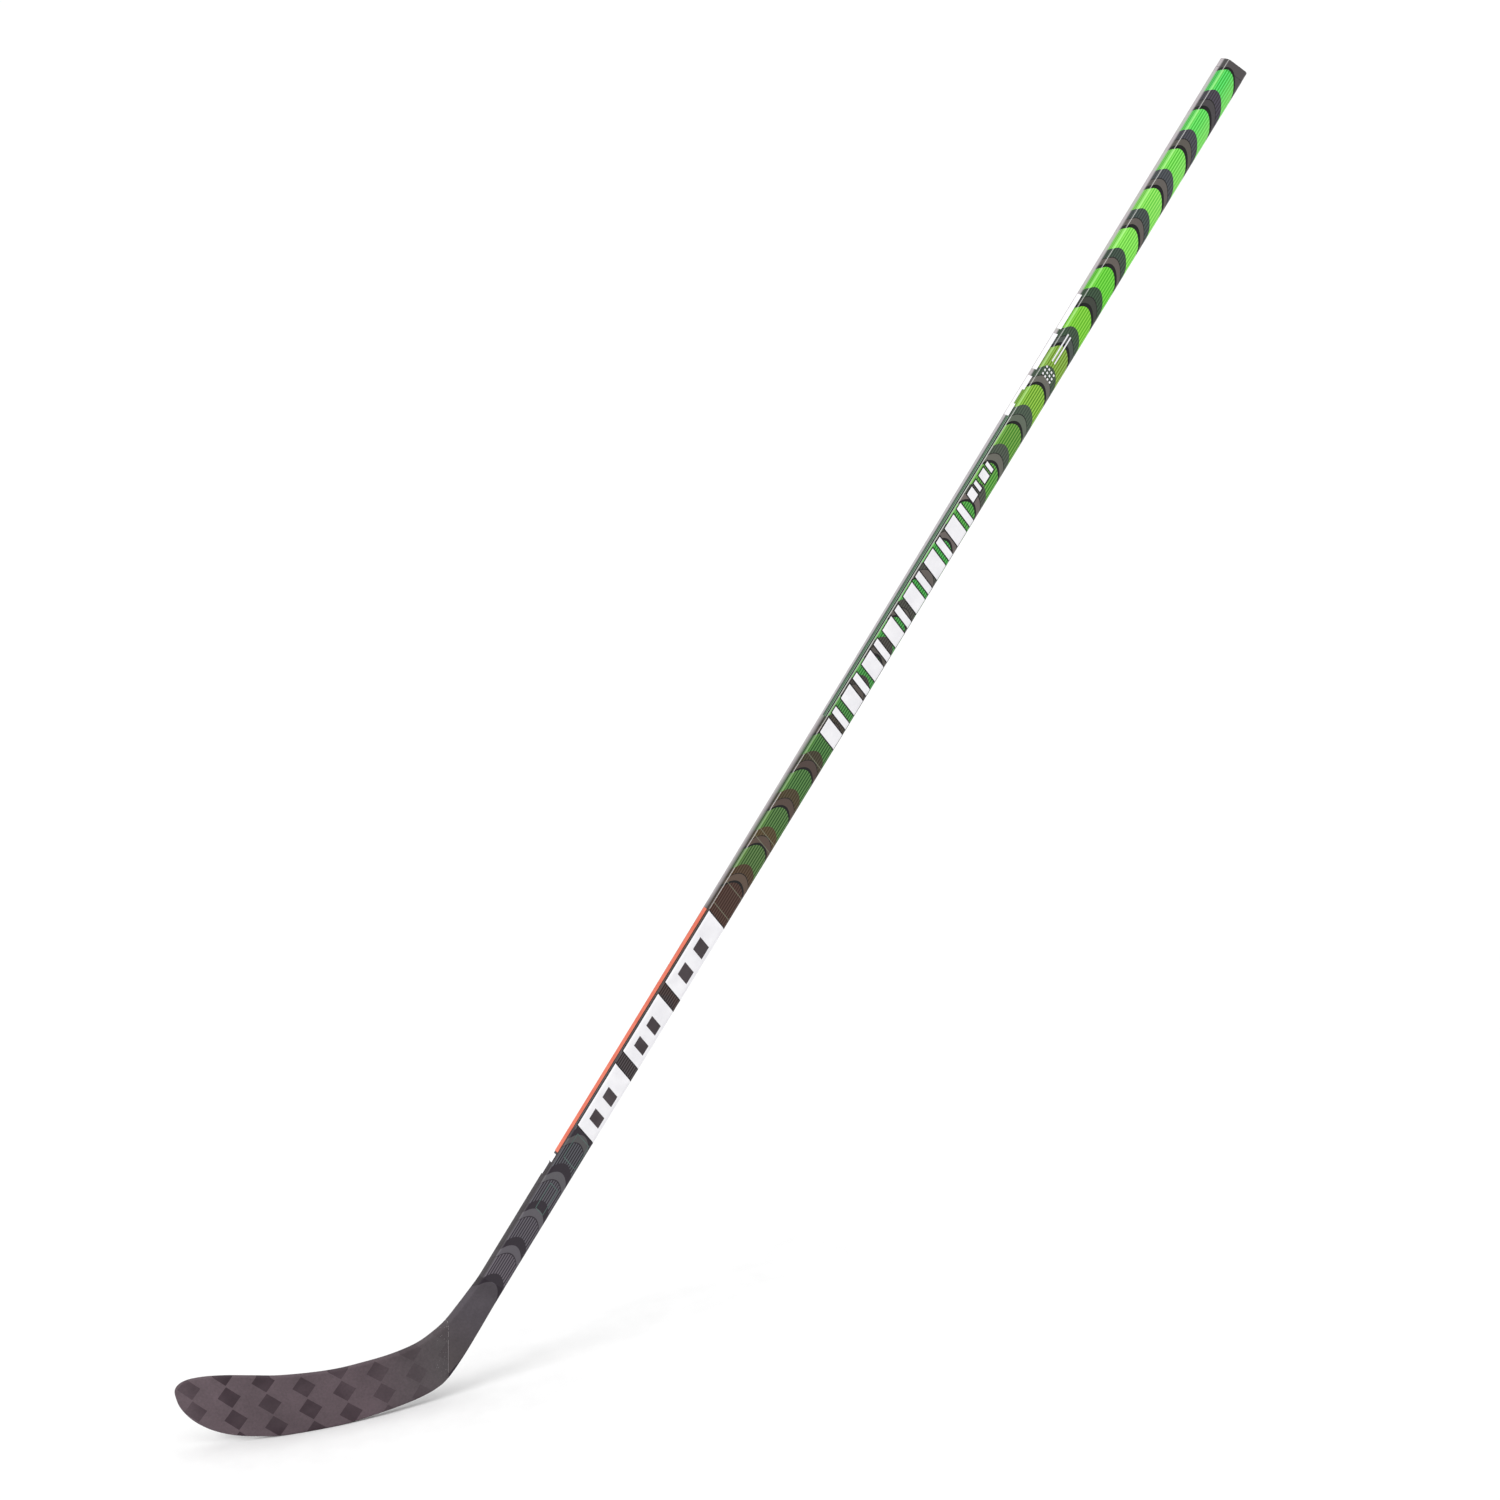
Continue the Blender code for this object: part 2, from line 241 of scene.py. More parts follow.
def section_row(edges, thickness, radius, label, inset=0.0):
    """A closed ring of (place, (u, v)), where label gives (u, v) from the flat point and p."""
    width = frame_height(edges)
    ways = half_way_round(width, thickness, radius)
    row = []
    for side, stops in ((1, ways), (-1, ways[-2:0:-1])):
        for p in stops:
            h, y = around(width, thickness, radius, p, -inset)
            x, z = flat_point(edges, h)
            told = label(x, z, carried_on(p, side, thickness, radius))
            row.append((placed(x, side * y, z), told))
    return row


# ---- Building pieces ----


def build(name, rows, wrap, ends=False):
    """A mesh through rows of (place, (u, v)), its faces looking outwards."""
    bm = bmesh.new()
    uv = bm.loops.layers.uv.new("finish")
    lookup = {}
    grid = []
    for row in rows:
        line = []
        for place, label in row:
            vert = bm.verts.new(place)
            lookup[vert] = label
            line.append(vert)
        grid.append(line)
    for first, second in zip(grid, grid[1:]):
        count = len(first) if wrap else len(first) - 1
        for i in range(count):
            j = (i + 1) % len(first)
            bm.faces.new((first[i], first[j], second[j], second[i]))
    if ends:
        bm.faces.new(grid[0])
        bm.faces.new(grid[-1])
    for face in bm.faces:
        for loop in face.loops:
            loop[uv].uv = lookup[loop.vert]
    bmesh.ops.recalc_face_normals(bm, faces=bm.faces)
    mesh = bpy.data.meshes.new(name)
    bm.to_mesh(mesh)
    bm.free()
    mesh.shade_smooth()
    mesh.set_sharp_from_angle(angle=SHARP_ANGLE)
    return mesh


def add_piece(name, mesh, material, slot, *nodes):
    """Shows a mesh in place of the named CAD nodes."""
    mesh.materials.append(material)
    piece = bpy.data.objects.new(name, mesh)
    bpy.context.scene.collection.objects.link(piece)
    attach(piece, "root")
    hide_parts(*nodes)


def turn_outwards(mesh, outward):
    """Flips an open patch whose faces look the wrong way."""
    total = sum((face.normal * face.area for face in mesh.polygons), Vector())
    if total.dot(outward) < 0:
        mesh.flip_normals()


# ---- The print's plan, in mm: s runs up the shaft's axis, p down the backhand face ----

# The scale pattern: arch lines every ARCH_FIRST mm, a little closer towards the blade. The
# line that starts scale k has its apex at ARCH_TOP - ARCH_FIRST * k + ARCH_EASE * k * k, and
# falls by ARCH_DROP times the square of the distance from the apex.
ARCH_TOP = 1590.2
ARCH_FIRST = 47.3
ARCH_EASE = 0.0595
ARCH_DROP = 0.056
# Where the apex lies across the face, near the butt and from the middle of the shaft down.
APEX_HIGH_S, APEX_HIGH_P = 1590.0, 7.6
APEX_LOW_S, APEX_LOW_P = 890.0, 13.0
# How much of a distance across the upper narrow side counts for the arches' fall.
SIDE_FLATTER = 0.35
# Scale numbers: the count for the colour ramps, where the scales begin at the butt, the end
# of the green ones, the start of the lower zone and the last arch.
SCALES = 32
BUTT_PRINT = -0.06
LAST_GREEN = 21.0
LOWER_ZONE = 27.45
LAST_ARCH = 31.77

# Where a scale's parts start, as shares of it from its upper line. The outline is broader
# near the butt.
DARK_FROM = 0.51
LINE_FROM = 0.745
CRESCENT_FROM = 0.765
OUTLINE_SCALES = (6.0, 12.0)
OUTLINE_FROM = (0.912, 0.94)
LOWER_ARCH_FROM = 0.54
LOWER_CRESCENT_FROM = 0.77
LOWER_LINE_FROM = 0.97

# Colours by scale number. Each pair of ramps holds the two colours of the fine stripes.
GREEN_DEEP = (
    (0.5, "47c44c"), (1.5, "54cc50"), (2.5, "62cc46"), (3.5, "70d64e"), (4.5, "74d44c"),
    (5.5, "5ac434"), (6.5, "6cc030"), (7.5, "74962e"), (8.5, "689e22"), (9.5, "4c8a2e"),
    (12.5, "2b8a35"), (15.5, "2c7a34"), (17.5, "2f5e22"), (20.5, "3f5e27"),
)
GREEN_BRIGHT = (
    (0.5, "66e974"), (1.5, "76ec70"), (2.5, "8cee6a"), (3.5, "9eee6c"), (4.5, "98f268"),
    (5.5, "7ee050"), (6.5, "92dc4e"), (7.5, "94be58"), (8.5, "9bcd51"), (9.5, "7cac50"),
    (12.5, "58b85c"), (15.5, "5aa458"), (17.5, "5e8d51"), (20.5, "678553"),
)
DARK_DEEP = (
    (0.5, "464249"), (2.5, "484b50"), (5.5, "3a4c3c"), (8.5, "48564a"), (10.5, "4c5048"),
    (15.5, "433f3c"), (17.5, "443f32"), (19.5, "52462f"), (21.5, "46342d"), (24.5, "3a3232"),
    (28.5, "3c3a3e"), (31.5, "48434a"),
)
DARK_BRIGHT = (
    (0.5, "56525c"), (2.5, "585c60"), (5.5, "4a5f4b"), (8.5, "586557"), (10.5, "5c6058"),
    (15.5, "534f4c"), (17.5, "544f42"), (19.5, "645643"), (21.5, "59463f"), (24.5, "524a4a"),
    (28.5, "5e5e64"), (31.5, "6b656c"),
)
CRESCENT = (
    (0.5, "535052"), (1.5, "64605a"), (2.5, "6a6561"), (4.5, "6c6560"), (5.5, "494c46"),
    (6.5, "565d58"), (7.5, "717069"), (8.5, "687164"), (10.5, "776e6b"), (14.5, "5f5c57"),
    (16.5, "5f5450"), (17.5, "584c48"), (20.5, "67584e"), (21.5, "4f3c36"), (24.5, "464040"),
    (27.5, "5c5b5c"), (28.5, "646266"), (31.5, "666168"),
)

# The first scales are yellower down the face: the places of p and the scale numbers between
# which that grows, and how strong it gets. The lower zone is plainer on the narrow side, in
# the same way.
SUNNY_P, SUNNY_SCALES, SUNNY_SHARE = (10.0, 24.0), (4.5, 2.0), 0.45
PLAINER_P, PLAINER_SHARE = (-0.4, -1.6), 0.85

# The fine lengthwise stripes: their pitch near the blade and at the butt, and how far the two
# colours are driven apart.
STRIPE_LOW_S, STRIPE_LOW_PITCH = 200.0, 2.70
STRIPE_HIGH_S, STRIPE_HIGH_PITCH = 1600.0, 2.93
STRIPE_DRIVE = 0.35

# The lengthwise lines on the upper narrow side: their span, the width they fill, the place
# of p where they stop and their colours by share of the width.
LINES_LOW, LINES_HIGH = 815.0, 1173.0
LINES_WIDTH = 16.0
LINES_EDGE = -0.4
LINES = (
    (0.0, "b8b3b6"), (0.34, "7e8380"), (0.44, "2e312f"), (0.55, "6f9976"), (0.63, "2a2d2b"),
    (0.72, "8fb095"), (0.80, "262828"), (0.94, "a9b4a8"),
)

# How far the ends of the printed bars fall, per mm across the face, and the thin lines that
# are slanted alike.
SLANT = 0.32
THIN_LINES = (775.0, 684.0, 675.0, 620.0, 595.0)
THIN_HALF_WIDTH = 0.4
THIN_FROM_P = 1.0
THIN_SHARE = 0.45

# The painted light on the shaft's upper corners starts above the large marks, between these
# places.
CORNER_LOW, CORNER_HIGH = 560.0, 600.0
# The narrow side's painted shade, by places of p, and how strong it is above and below
# LINES_LOW.
SHADE_P = (-0.6, -2.4)
SHADE_SHARES = (0.32, 0.66)
# The painted reflection on the far corner: where it begins and is full, above and below
# LINES_LOW.
REFLECTION_FROM = (-7.4, -3.4)
REFLECTION_TO = (-10.8, -12.2)
REFLECTION_SHARE = 0.92
# The painted highlight band along the near corner, and between which places of s it grows from
# the first share to the second. The white painted highlight line in it has one share outside
# the green and one inside.
HIGHLIGHT_BAND_P = (-1.2, 2.4)
HIGHLIGHT_BAND_S = (800.0, 1300.0)
HIGHLIGHT_BAND_SHARES = (0.14, 0.28)
CORNER_HIGHLIGHT_P = (-0.4, 0.3)
CORNER_HIGHLIGHT_SHARES = (0.62, 0.12)

# The printed bars, each (start, end, p from, p to). First the starts and ends of the large
# white blocks and their places of p, their grey slots by share of a block's length, and how
# far their dark ground reaches past them.
LARGE_BLOCKS = ((500.0, 585.0), (418.0, 486.0), (330.0, 403.0))
LARGE_P = (0.8, 30.5)
SLOT_SHARES = (0.27, 0.62)
SLOT_HALF_SHARE = 0.085
SLOT_P = (8.5, 23.0)
LARGE_GROUND = 1.2
# The rows of slashes, each (start, end, count, p from, p to), a pair of slashes by share of
# their pitch, and how far their dark ground reaches past them.
LONG_SLASHES = (796.0, 1079.0, 7, 2.6, 27.0)
SHORT_SLASHES = (1082.0, 1127.0, 2, 4.0, 15.0)
SLASH_PAIR = ((0.08, 0.50), (0.66, 0.84))
SLASH_GROUND = 1.3
# The empty boxes near the blade.
GHOST_BOXES = ((296.0, 324.0, 6.0, 25.0), (238.0, 268.0, 9.0, 21.0))
GHOST_WIDTH = 0.7
# The small dots and bars above the slashes. The first dot starts at DOTS_S and DOTS_P.
DOTS_S, DOTS_P = 1229.0, 5.0
DOT_PITCH, DOT_SIZE = 4.0, 2.0
DOTS_ALONG, DOTS_ACROSS = 3, 4
DOT_BARS = ((1246.0, 1278.0, 7.0, 8.6), (1246.0, 1278.0, 11.0, 12.6))
# The marks on the upper narrow side.
UPPER_PANEL = (
    (1276.0, 1317.0, -14.5, -4.4),
    (1228.0, 1270.0, -14.5, -4.4),
    (1204.0, 1220.0, -14.5, -4.4),
    (1187.0, 1204.0, -14.5, -9.0),
    (1173.0, 1187.0, -14.5, -4.4),
)
UPPER_STRIPE = ((294.5, 585.0, -11.5, -3.6),)
UPPER_TAB = ((283.0, 292.0, -11.5, -4.2), (268.0, 282.0, -11.5, -8.6))

# How far the inks lie above the tube: the dark ground, the light ink and the slots in it.
DARK_LIFT, LIGHT_LIFT, SLOT_LIFT = 0.10, 0.18, 0.24

# The weave's squares, in the blade's flat drawing: one square's middle, the two sides in mm,
# the tilt of the first, the plain margin between squares as a share of a side, and after how
# many squares a dark one comes again.
WEAVE_AT = (-78.7, 49.8)
WEAVE_SIDES = (18.86, 16.64)
WEAVE_TILT = math.radians(-41.7)
WEAVE_MARGIN = 0.03
WEAVE_TURN = 3.0
WEAVE_WAYS = (
    (math.cos(WEAVE_TILT) / WEAVE_SIDES[0], math.sin(WEAVE_TILT) / WEAVE_SIDES[0]),
    (-math.sin(WEAVE_TILT) / WEAVE_SIDES[1], math.cos(WEAVE_TILT) / WEAVE_SIDES[1]),
)

# The weave's contrast in the same drawing, each (x from, x to, share from, share to): it
# fades towards the heel and towards the toe. Then where the ground changes its tone.
FADE_TO_HEEL = (0.0, 125.0, 1.0, 0.25)
FADE_TO_TOE = (-122.0, -100.0, 0.45, 1.0)
GROUND_X = (60.0, 140.0)

# The worn seam near the heel, in the same drawing: it leans by SEAM_LEAN of its height, and
# the line and the flecks beside it lie between these places at z = 0.
SEAM_LEAN = -0.154
SEAM_LINE = (139.3, 139.6)
SEAM_FLECKS = (127.0, 139.2)

# Where the hosel's plain carbon changes its tone.
HOSEL_S = (40.0, 110.0)

# ---- Materials ----

# The white sheen that the studio adds to a surface, and the darkest colour given to one.
SHEEN = 0.022
DARKEST = 0.002

# Where nearly all values of a noise lie, and how far it moves a plain material's roughness.
NOISE_SPAN = (0.3, 0.7)
ROUGHNESS_SWING = 0.06


def ink(code):
    """The surface colour that looks like a screen colour, such as 8a7f3c, in the studio."""
    parts = [int(code[i : i + 2], 16) / 255 for i in (0, 2, 4)]
    linear = [c / 12.92 if c <= 0.04045 else ((c + 0.055) / 1.055) ** 2.4 for c in parts]
    return (*[max(DARKEST, c - SHEEN) for c in linear], 1.0)


class Finish:
    """A procedural material: a Principled shader and short calls that add nodes before it."""

    def __init__(self, name, specular):
        self.material = bpy.data.materials.new(name)
        self.material.use_nodes = True
        self.nodes = self.material.node_tree.nodes
        self.links = self.material.node_tree.links
        self.shader = self.nodes["Principled BSDF"]
        self.shader.inputs["Specular IOR Level"].default_value = specular

    def feed(self, target, value):
        if isinstance(value, bpy.types.NodeSocket):
            self.links.new(value, target)
        else:
            target.default_value = value

    def calc(self, operation, *values):
        node = self.nodes.new("ShaderNodeMath")
        node.operation = operation
        for target, value in zip(node.inputs, values):
            self.feed(target, value)
        return node.outputs[0]

    def spread(self, value, low, high, to_low=0.0, to_high=1.0, smooth=False):
        """The value's way from low to high, carried to a way from to_low to to_high."""
        node = self.nodes.new("ShaderNodeMapRange")
        node.interpolation_type = "SMOOTHSTEP" if smooth else "LINEAR"
        for target, number in zip(node.inputs, (value, low, high, to_low, to_high)):
            self.feed(target, number)
        return node.outputs[0]

    def between(self, value, low, high):
        """1 where the value lies between low and high, else 0."""
        above = self.calc("GREATER_THAN", value, low)
        return self.calc("MULTIPLY", above, self.calc("LESS_THAN", value, high))

    def mix(self, share, first, second, kind="MIX"):
        node = self.nodes.new("ShaderNodeMix")
        node.data_type = "RGBA"
        node.blend_type = kind
        self.feed(node.inputs[0], share)
        self.feed(node.inputs[6], first)
        self.feed(node.inputs[7], second)
        return node.outputs[2]

    def blend_past(self, share, first, second):
        """A mix whose share may lie a little outside 0 to 1."""
        socket = self.mix(share, first, second)
        socket.node.clamp_factor = False
        return socket

    def ramp(self, value, stops, constant=False):
        node = self.nodes.new("ShaderNodeValToRGB")
        ramp = node.color_ramp
        ramp.interpolation = "CONSTANT" if constant else "LINEAR"
        while len(ramp.elements) < len(stops):
            ramp.elements.new(0.5)
        for element, (place, code) in zip(ramp.elements, stops):
            element.position = place
            element.color = ink(code)
        self.feed(node.inputs[0], value)
        return node.outputs[0]

    def noise(self, scale, detail):
        node = self.nodes.new("ShaderNodeTexNoise")
        node.inputs["Scale"].default_value = scale
        node.inputs["Detail"].default_value = detail
        place = self.nodes.new("ShaderNodeTexCoord").outputs["Object"]
        self.links.new(place, node.inputs["Vector"])
        return node.outputs["Fac"]

    def labels(self):
        """The piece's own two coordinates, in millimetres."""
        node = self.nodes.new("ShaderNodeUVMap")
        node.uv_map = "finish"
        split = self.nodes.new("ShaderNodeSeparateXYZ")
        self.links.new(node.outputs[0], split.inputs[0])
        return [self.calc("MULTIPLY", split.outputs[i], 1 / MM) for i in (0, 1)]

    def colour(self, value):
        self.feed(self.shader.inputs["Base Color"], value)

    def roughness(self, value):
        self.feed(self.shader.inputs["Roughness"], value)

    def bump(self, height, strength, distance):
        node = self.nodes.new("ShaderNodeBump")
        node.inputs["Strength"].default_value = strength
        node.inputs["Distance"].default_value = distance
        self.links.new(height, node.inputs["Height"])
        self.links.new(node.outputs[0], self.shader.inputs["Normal"])


def scale_number(f, s, p):
    """Which scale a place lies in, counted from the butt, with the share of it passed."""
    apex = f.spread(s, APEX_HIGH_S, APEX_LOW_S, APEX_HIGH_P, APEX_LOW_P, smooth=True)
    on_face = f.calc("MAXIMUM", p, 0.0)
    across = f.calc("MULTIPLY_ADD", f.calc("MINIMUM", p, 0.0), SIDE_FLATTER, on_face)
    off_apex = f.calc("SUBTRACT", across, apex)
    drop = f.calc("MULTIPLY", f.calc("MULTIPLY", off_apex, off_apex), ARCH_DROP)
    run = f.calc("SUBTRACT", ARCH_TOP, f.calc("ADD", s, drop))
    inside = f.calc("MULTIPLY_ADD", run, -4 * ARCH_EASE, ARCH_FIRST**2)
    root = f.calc("SQRT", inside)
    return f.calc("DIVIDE", f.calc("SUBTRACT", ARCH_FIRST, root), 2 * ARCH_EASE)


def pinstripes(f, s, p):
    """The fine lengthwise stripes, from 0 to 1."""
    pitch = f.spread(s, STRIPE_LOW_S, STRIPE_HIGH_S, STRIPE_LOW_PITCH, STRIPE_HIGH_PITCH)
    turn = f.calc("MULTIPLY", f.calc("DIVIDE", p, pitch), 2 * math.pi)
    return f.calc("MULTIPLY_ADD", f.calc("SINE", turn), 0.5, 0.5)


def scale_pattern(f, s, p):
    """The printed colour at s and p, the fine stripes there and the scale number."""
    k = scale_number(f, s, p)
    share = f.calc("FRACT", k)
    tone = f.calc("DIVIDE", f.calc("ADD", f.calc("FLOOR", k), 0.5), SCALES)
    stripe = pinstripes(f, s, p)
    strong = f.spread(stripe, 0.0, 1.0, -STRIPE_DRIVE, 1.0 + STRIPE_DRIVE)

    def by_scale(colours):
        return f.ramp(tone, [(number / SCALES, code) for number, code in colours])

    def from_share(start, before, after):
        return f.mix(f.calc("GREATER_THAN", share, start), before, after)

    green = f.blend_past(strong, by_scale(GREEN_DEEP), by_scale(GREEN_BRIGHT))
    sunny = f.calc("MULTIPLY", f.spread(p, *SUNNY_P), f.spread(k, *SUNNY_SCALES))
    green = f.mix(f.calc("MULTIPLY", sunny, SUNNY_SHARE), green, ink("a4ea7c"))
    dark = f.blend_past(strong, by_scale(DARK_DEEP), by_scale(DARK_BRIGHT))
    crescent = by_scale(CRESCENT)

    outline_from = f.spread(k, *OUTLINE_SCALES, *OUTLINE_FROM)
    upper = from_share(DARK_FROM, green, dark)
    upper = from_share(LINE_FROM, upper, ink("26262a"))
    upper = from_share(CRESCENT_FROM, upper, crescent)
    upper = from_share(outline_from, upper, ink("0c0e0c"))
    upper = f.mix(f.calc("GREATER_THAN", k, LAST_GREEN), upper, dark)

    arch = ink("3d383e")
    lower = from_share(LOWER_ARCH_FROM, dark, arch)
    lower = from_share(LOWER_CRESCENT_FROM, lower, crescent)
    lower = from_share(LOWER_LINE_FROM, lower, arch)
    plainer = f.spread(p, *PLAINER_P, 0.0, PLAINER_SHARE)
    lower = f.mix(plainer, lower, ink("494547"))

    printed = f.mix(f.calc("GREATER_THAN", k, LOWER_ZONE), upper, lower)
    printed = f.mix(f.calc("GREATER_THAN", k, LAST_ARCH), printed, ink("5e5960"))
    printed = f.mix(f.calc("LESS_THAN", k, BUTT_PRINT), printed, ink("5a5657"))
    return printed, stripe, k


def edge_lines(f, colour, s, p):
    """The lengthwise lines printed along the upper narrow side."""
    lines = f.ramp(f.spread(p, -LINES_WIDTH, 0.0), LINES, constant=True)
    in_span = f.between(s, LINES_LOW, LINES_HIGH)
    on_edge = f.calc("MULTIPLY", in_span, f.calc("LESS_THAN", p, LINES_EDGE))
    return f.mix(on_edge, colour, lines)


def slanted_lines(f, colour, s, p):
    """Thin pale lines across the face, slanted as the bars' ends are."""
    slanted = f.calc("MULTIPLY_ADD", p, SLANT, s)
    lit = 0.0
    for place in THIN_LINES:
        here = f.between(slanted, place - THIN_HALF_WIDTH, place + THIN_HALF_WIDTH)
        lit = f.calc("ADD", here, lit)
    on_face = f.calc("GREATER_THAN", p, THIN_FROM_P)
    strength = f.calc("MULTIPLY", on_face, f.calc("MULTIPLY", lit, THIN_SHARE))
    return f.mix(strength, colour, ink("9aa08a"))


def corner_light(f, colour, s, p, k):
    """The painted light on the upper corners: painted shade darkens the upper narrow side, and a
    painted reflection pales it towards its far corner, more so below the lengthwise lines. The
    near corner has a broad painted highlight band on the green zones and a fine white painted
    highlight line on the dark ones."""
    above_marks = f.spread(s, CORNER_LOW, CORNER_HIGH)
    below_lines = f.calc("LESS_THAN", s, LINES_LOW)

    def above_or_below(above, below):
        return f.spread(below_lines, 0.0, 1.0, above, below)

    side = f.calc("MULTIPLY", f.spread(p, *SHADE_P), above_marks)
    shade = f.calc("MULTIPLY", side, above_or_below(*SHADE_SHARES))
    # Painted shade: the upper narrow side is darkened towards 2c332d.
    colour = f.mix(shade, colour, ink("2c332d"))
    # Painted reflection: the far corner is paled towards c0b9bc.
    far = f.spread(p, above_or_below(*REFLECTION_FROM), above_or_below(*REFLECTION_TO))
    reflection = f.calc("MULTIPLY", far, above_marks)
    colour = f.mix(f.calc("MULTIPLY", reflection, REFLECTION_SHARE), colour, ink("c0b9bc"))
    in_green = f.calc("LESS_THAN", f.calc("FRACT", k), DARK_FROM)
    in_green = f.calc("MULTIPLY", in_green, f.calc("LESS_THAN", k, LAST_GREEN))
    # Painted highlight: a light green band along the near corner on the green scales.
    highlight_band = f.calc("MULTIPLY", f.between(p, *HIGHLIGHT_BAND_P), above_marks)
    highlight_band = f.calc("MULTIPLY", highlight_band, in_green)
    highlight_band = f.calc("MULTIPLY", highlight_band, f.spread(s, *HIGHLIGHT_BAND_S, *HIGHLIGHT_BAND_SHARES))
    colour = f.mix(highlight_band, colour, ink("c4f79c"))
    # Painted highlight: a fine near-white line along the near corner, strongest on the dark
    # scales.
    line = f.calc("MULTIPLY", f.between(p, *CORNER_HIGHLIGHT_P), above_marks)
    line = f.calc("MULTIPLY", line, f.spread(in_green, 0.0, 1.0, *CORNER_HIGHLIGHT_SHARES))
    return f.mix(line, colour, ink("e6e6e2"))


def overlaid(f, strength, colour, share, low, high):
    """A colour made darker and lighter by a grain."""
    return f.mix(strength, colour, f.mix(share, ink(low), ink(high)), "OVERLAY")


def shaft_material():
    """The glossy printed shaft."""
    f = Finish("shaft_print", specular=0.3)
    s, p = f.labels()
    colour, stripe, k = scale_pattern(f, s, p)
    colour = corner_light(f, colour, s, p, k)
    colour = edge_lines(f, colour, s, p)
    colour = slanted_lines(f, colour, s, p)
    cloud = f.noise(scale=38.0, detail=4.0)
    f.colour(overlaid(f, 0.10, colour, cloud, "2c2c2c", "d8d8d8"))
    f.roughness(f.spread(cloud, *NOISE_SPAN, 0.30, 0.42))
    f.bump(stripe, strength=0.15, distance=0.0002)
    return f.material


def weave_square(f, x, z):
    """1 in the dark squares of the spread-tow weave: every third one, each way."""
    from_x = f.calc("SUBTRACT", x, WEAVE_AT[0])
    from_z = f.calc("SUBTRACT", z, WEAVE_AT[1])
    cells, inside = [], []
    for along_x, along_z in WEAVE_WAYS:
        part_z = f.calc("MULTIPLY", from_z, along_z)
        run = f.calc("ADD", f.calc("MULTIPLY", from_x, along_x), part_z)
        run = f.calc("ADD", run, 0.5)
        cells.append(f.calc("FLOOR", run))
        inside.append(f.between(f.calc("FRACT", run), WEAVE_MARGIN, 1.0 - WEAVE_MARGIN))
    turn = f.calc("FLOORED_MODULO", f.calc("ADD", *cells), WEAVE_TURN)
    return f.calc("MULTIPLY", f.calc("LESS_THAN", turn, 0.5), f.calc("MULTIPLY", *inside))


def carbon_grain(f, colour, strength):
    """Fine speckle and broad cloudiness over a matt carbon colour."""
    grain = f.noise(scale=420.0, detail=5.0)
    colour = overlaid(f, strength, colour, grain, "505050", "f4f4f4")
    cloud = f.spread(f.noise(scale=24.0, detail=4.0), *NOISE_SPAN)
    colour = overlaid(f, 0.22, colour, cloud, "686868", "f0f0f0")
    f.roughness(f.spread(grain, *NOISE_SPAN, 0.54, 0.70))
    f.bump(grain, strength=0.25, distance=0.0003)
    return colour


def blade_material():
    """The weave, strongest in the middle of the blade, and the worn seam near the heel."""
    f = Finish("blade_weave", specular=0.25)
    x, z = f.labels()
    square = weave_square(f, x, z)
    patchy = f.spread(f.noise(scale=30.0, detail=2.0), 0.35, 0.65, 0.65, 1.0)
    contrast = f.calc("MULTIPLY", f.spread(x, *FADE_TO_HEEL), patchy)
    contrast = f.calc("MULTIPLY", f.spread(x, *FADE_TO_TOE), contrast)
    ground = f.mix(f.spread(x, *GROUND_X), ink("665a5f"), ink("5b5658"))
    colour = f.mix(f.calc("MULTIPLY", square, contrast), ground, ink("443a3f"))
    colour = carbon_grain(f, colour, 0.35)
    at_seam = f.calc("MULTIPLY_ADD", z, SEAM_LEAN, x)
    line = f.between(at_seam, *SEAM_LINE)
    worn = f.calc("GREATER_THAN", f.noise(scale=160.0, detail=2.0), 0.48)
    colour = f.mix(f.calc("MULTIPLY", line, worn), colour, ink("a09a9c"))
    flecks = f.calc("GREATER_THAN", f.noise(scale=700.0, detail=1.0), 0.73)
    by_seam = f.calc("MULTIPLY", flecks, f.between(at_seam, *SEAM_FLECKS))
    f.colour(f.mix(f.calc("MULTIPLY", by_seam, 0.6), colour, ink("a8a4a4")))
    return f.material


def hosel_material():
    """Plain matt carbon, with the shaft's print running out onto it."""
    f = Finish("hosel_carbon", specular=0.25)
    s, p = f.labels()
    printed, _, k = scale_pattern(f, s, p)
    plain = f.mix(f.spread(s, *HOSEL_S), ink("5f5859"), ink("585358"))
    colour = f.mix(f.calc("GREATER_THAN", k, LAST_ARCH), printed, plain)
    f.colour(carbon_grain(f, colour, 0.30))
    return f.material


def plain_material(name, low, high, roughness, scale, bump):
    """One colour family with grain, varied roughness and a fine relief."""
    f = Finish(name, specular=0.3)
    grain = f.noise(scale, detail=4.0)
    f.colour(f.mix(f.spread(grain, *NOISE_SPAN), ink(low), ink(high)))
    swing = (roughness - ROUGHNESS_SWING, roughness + ROUGHNESS_SWING)
    f.roughness(f.spread(grain, *NOISE_SPAN, *swing))
    f.bump(grain, bump, distance=0.0002)
    return f.material


# ---- Shaft ----


def shaft_row(s, inset=0.0):
    """The shaft's section at s, inset by so much all round."""
    thickness = shaft_value(s, TAPER_THICKNESS)
    radius = shaft_value(s, TAPER_CORNER)
    return section_row(shaft_frame(s), thickness, radius, lambda x, z, p: (s, p), inset)


def add_sleeves(material):
    """The printed tube, in equal lengths that meet edge to edge."""
    ends = np.linspace(SHAFT_START, SHAFT_TOP - BUTT_COLLAR, SLEEVES + 1)
    for number, (low, high) in enumerate(zip(ends, ends[1:]), 1):
        stops = np.linspace(low, high, math.ceil((high - low) / RING_STEP) + 1)
        mesh = build(f"shaft_print_{number}", [shaft_row(s) for s in stops], wrap=True)
        add_piece(f"shaft_print_{number}", mesh, material, "shaft_finish", "shaft_tube")


